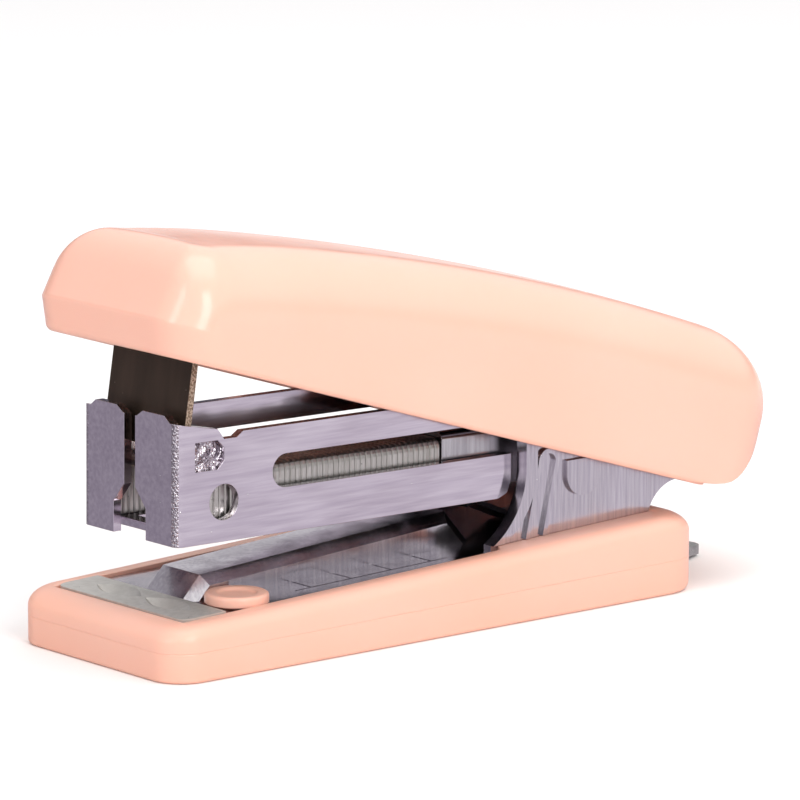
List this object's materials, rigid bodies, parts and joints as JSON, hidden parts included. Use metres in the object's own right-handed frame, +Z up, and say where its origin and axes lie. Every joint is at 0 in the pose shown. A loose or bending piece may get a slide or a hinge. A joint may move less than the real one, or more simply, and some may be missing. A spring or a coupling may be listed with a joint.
{
  "type": "mini stapler",
  "caption": "Palm-size stapler with a moulded cover and shoe, pressed steel frame and magazine, driver blade, spring-fed staple strip and a staple-lifting tongue at the rear.",
  "frame": {"origin": "centre of the shoe's flat underside", "axes": "+Z up, +X across the stapler, -Y towards the jaw, +Y towards the hinge"},
  "size_m": [0.0192, 0.059, 0.0306],
  "materials": {
    "pink_shoe": "moulded, soft gloss",
    "pink_cover": "moulded, high gloss",
    "frame_chrome": "plated pressing with fine brushed grain",
    "magazine_chrome": "bright plated pressing",
    "anvil_steel": "light grey hardened steel",
    "bright_steel": "turned steel",
    "remover_steel": "stamped steel",
    "spring_steel": "spring steel",
    "staple_zinc": "zinc plated wire",
    "follower_steel": "plated sheet",
    "blade_steel": "dark hardened steel with a sheared edge"
  },
  "bodies": {
    "base": {"base_shoe": "pink_shoe", "base_frame": "frame_chrome", "anvil_plate": "anvil_steel", "hinge_pin": "bright_steel", "staple_remover": "remover_steel", "return_spring": "spring_steel", "shoe_rivet": "pink_shoe", "remover_rivet": "bright_steel", "return_spring_rivet": "bright_steel"},
    "magazine": {"magazine": "magazine_chrome", "staple_strip": "staple_zinc", "follower_rod": "bright_steel", "rod_anchor": "frame_chrome", "follower_spring": "spring_steel"},
    "follower": {"follower": "follower_steel"},
    "cover": {"cover_shell": "pink_cover", "cover_frame": "frame_chrome", "driver_blade": "blade_steel", "cover_spring": "spring_steel", "blade_rivets": "bright_steel", "cover_spring_rivet": "bright_steel"}
  },
  "joints": [
    {"name": "magazine_press", "type": "hinge", "parent": "base", "child": "magazine", "pos_m": [0, 0.02175, 0.012], "axis": [1, 0, 0], "range_deg": [0, 4.9], "stiffness_Nm_per_rad": 0.9, "springref_deg": -5.73, "deforming": ["return_spring"]},
    {"name": "cover_press", "type": "hinge", "parent": "magazine", "child": "cover", "pos_m": [0, 0.02175, 0.012], "axis": [1, 0, 0], "range_deg": [-20, 9.2], "stiffness_Nm_per_rad": 0.3, "deforming": ["cover_spring"]},
    {"name": "follower_slide", "type": "slide", "parent": "magazine", "child": "follower", "axis": [0, 0.9999, -0.0112], "range_m": [0, 0.005], "stiffness_N_per_m": 40, "springref_m": -0.01, "deforming": ["follower_spring"]}
  ]
}
